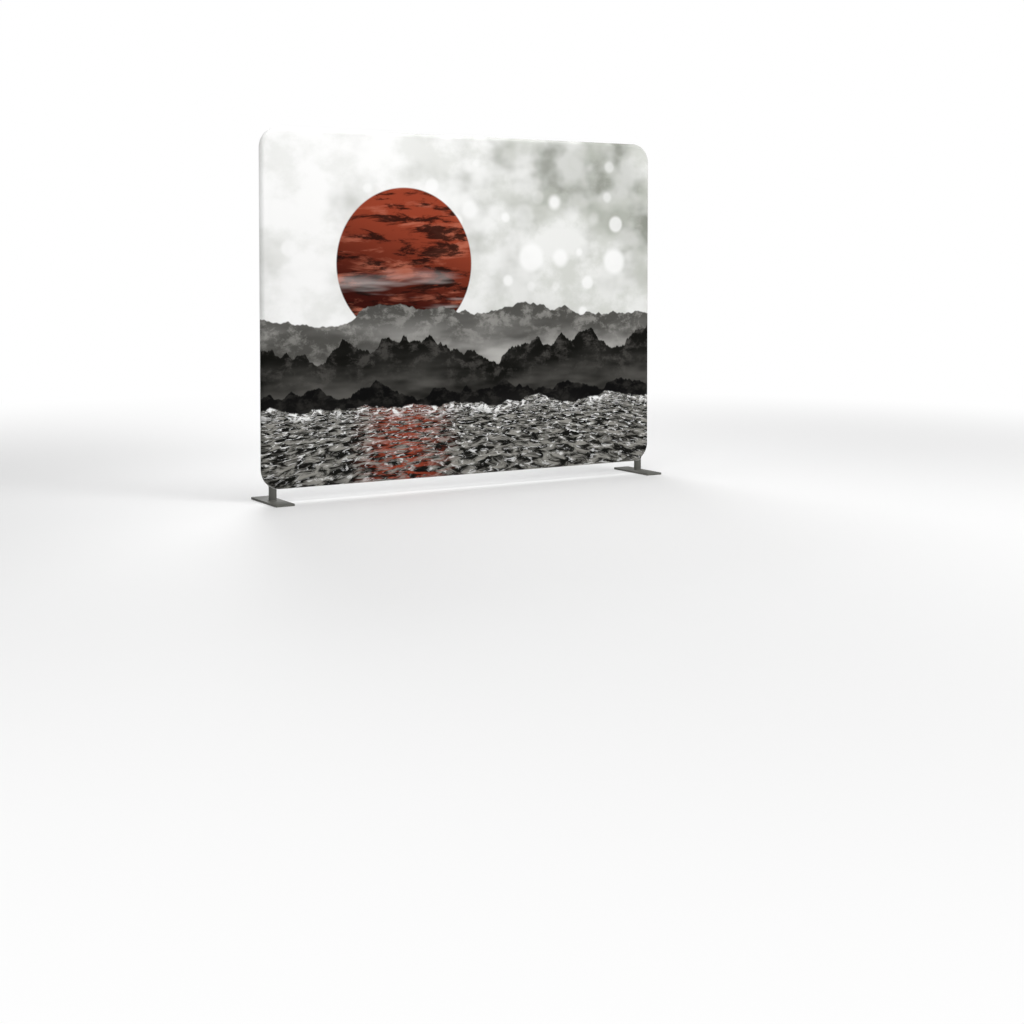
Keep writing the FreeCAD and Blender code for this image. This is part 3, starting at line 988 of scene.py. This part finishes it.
# Feet: the domed tops of the spring buttons that lock the posts
button_shank = 0.004
button_rounding = 0.0018
button_rim = 0.0008
button_sides = 40
dome_steps = 8
pole_gap = 0.000001


def foot_button(name):
    """A round button with a domed top and a thin flange at its foot."""
    low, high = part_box(name)
    flange = (high.x - low.x) / 2
    ring = button_shank - button_rounding
    shoulder = high.y - button_rounding
    rim = low.y + button_rim
    outline = [(0, high.y)]
    for step in range(dome_steps + 1):
        turn = QUARTER * step / dome_steps
        outline.append((ring + button_rounding * sin(turn), shoulder + button_rounding * cos(turn)))
    outline += [(button_shank, rim), (flange, rim), (flange, low.y), (0, low.y)]
    centre = Vector(((low.x + high.x) / 2, 0, (low.z + high.z) / 2))
    bm = bmesh.new()
    parts = section(bm, [centre + Vector((reach, y, 0)) for reach, y in outline])
    spun(bm, parts, centre, Y, FULL_TURN, button_sides)
    bmesh.ops.remove_doubles(bm, verts=bm.verts[:], dist=pole_gap)
    outwards(bm)
    made = piece(name + "_dome", bm, PLATED, name)
    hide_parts(name)


foot_button("button_foot_left")
foot_button("button_foot_right")

# Springs inside the tubes, which give way as the buttons go in; they are built here in their rest
# shape. Each has a reach and a drop
FRAME_SPRING = (0.028, 0.0202)
FOOT_SPRING = (0.015, 0.018)
spring_width = 0.008
spring_strip = 0.0008
spring_nose = 0.003
spring_gap = 0.0001
nose_steps = 8


def spring_bend(radius, reach, drop):
    """Half a turn at the bent end of a spring, from its upper leg to its lower one."""
    turns = [QUARTER * (1 + 2 * step / nose_steps) for step in range(nose_steps + 1)]
    return [(radius * cos(turn) - reach, radius * sin(turn) - drop / 2) for turn in turns]


def snap_spring(name, along, out, reach, drop):
    """A bent strip: a leg under the button, a round nose and a leg on the opposite wall."""
    low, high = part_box("button_" + name)
    middle = (low + high) / 2
    base = min(low.dot(out), high.dot(out)) - spring_gap
    seat = middle + out * (base - middle.dot(out))
    side = out.cross(along)
    flat = max(abs((high - low).dot(along)), spring_width) / 2
    outline = [(flat, 0), (-flat, 0)]
    outline += spring_bend(spring_nose, reach, drop)
    outline += [(flat, -drop), (flat, spring_strip - drop)]
    outline += reversed(spring_bend(spring_nose - spring_strip, reach, drop))
    outline += [(-flat, -spring_strip), (flat, -spring_strip)]
    start = seat - side * (spring_width / 2)
    bm = bmesh.new()
    raised(bm, [start + along * length + out * height for length, height in outline],
           side * spring_width)
    outwards(bm)
    made = piece("snap_spring_" + name, bm, STEEL)
    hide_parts("snap_springs")
    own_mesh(made)


for level_name, level in (("bottom", -1), ("top", 1)):
    snap_spring(level_name + "_middle", X, Z * -level, *FRAME_SPRING)
    for side_name, side in (("left", -1), ("right", 1)):
        snap_spring(level_name + "_" + side_name, X * -side, Z * -level, *FRAME_SPRING)
        snap_spring(side_name + "_" + level_name, Z * -level, X * -side, *FRAME_SPRING)
for side_name in ("left", "right"):
    snap_spring("foot_" + side_name, Z * -1, Y, *FOOT_SPRING)

# Floor, lights and camera
floor_radius = 60.0
floor_sides = 96
glow_start = 1.4
glow_end = 5.0
light_size = 3.0
panel_middle = Vector((0, 0, 0.6))
floor_middle = Vector((0, 0, 0))
camera_tilt = radians(90 - 1.95)
camera_turn = radians(-31.276)


def pale_floor():
    """A wide pale disc that turns to plain white away from the object."""
    bm = bmesh.new()
    bmesh.ops.create_circle(bm, cap_ends=True, segments=floor_sides, radius=floor_radius)
    floor = mesh_object("floor", bm)
    paint = Paint("pale_floor", 0.6)
    paint.colour(grey(0.84))
    paint.gloss(0.2)
    away = paint.step(paint.distance(paint.across, paint.deep), glow_start, glow_end)
    glow = paint.add("ShaderNodeEmission", {"Color": grey(1), "Strength": 1.0})
    inputs = {0: away, 1: paint.shader.outputs[0], 2: glow.outputs[0]}
    mixed = paint.add("ShaderNodeMixShader", inputs)
    paint.plug(mixed.outputs[0], paint.tree.nodes["Material Output"].inputs["Surface"])
    floor.data.materials.append(paint.material)


def soft_light(name, place, target, power):
    """A large round studio light that points at a target."""
    lamp = bpy.data.lights.new(name, "AREA")
    lamp.shape = "DISK"
    lamp.size = light_size
    lamp.energy = power
    made = in_scene(name, lamp)
    made.location = place
    made.rotation_euler = (target - Vector(place)).to_track_quat("-Z", "Y").to_euler()


def white_surroundings(seen, lit):
    """White behind the object, and a weaker white that lights it."""
    world = bpy.data.worlds.new("surroundings")
    bpy.context.scene.world = world
    world.use_nodes = True
    tree = world.node_tree
    ground = tree.nodes["Background"]
    ground.inputs["Color"].default_value = (1, 1, 1, 1)
    path = tree.nodes.new("ShaderNodeLightPath")
    level = tree.nodes.new("ShaderNodeMapRange")
    level.inputs["To Min"].default_value = lit
    level.inputs["To Max"].default_value = seen
    tree.links.new(path.outputs["Is Camera Ray"], level.inputs["Value"])
    tree.links.new(level.outputs[0], ground.inputs["Strength"])


pale_floor()
white_surroundings(seen=1.0, lit=0.26)
soft_light("key_light", (2.8, -4.6, 3.2), panel_middle, power=152)
soft_light("fill_light", (-4.5, -3.6, 2.6), panel_middle, power=60)
soft_light("back_light", (1.5, 4.5, 3.2), panel_middle, power=130)
soft_light("top_light", (0, -0.6, 4.6), floor_middle, power=110)

lens = bpy.data.cameras.new("camera")
lens.sensor_width = 36.0
lens.lens = 55.332
lens.shift_y = -0.19
camera = in_scene("camera", lens)
camera.location = (-3.158, -5.5471, 0.9041)
camera.rotation_euler = (camera_tilt, 0, camera_turn)
bpy.context.scene.camera = camera
bpy.context.scene.view_settings.view_transform = "Standard"
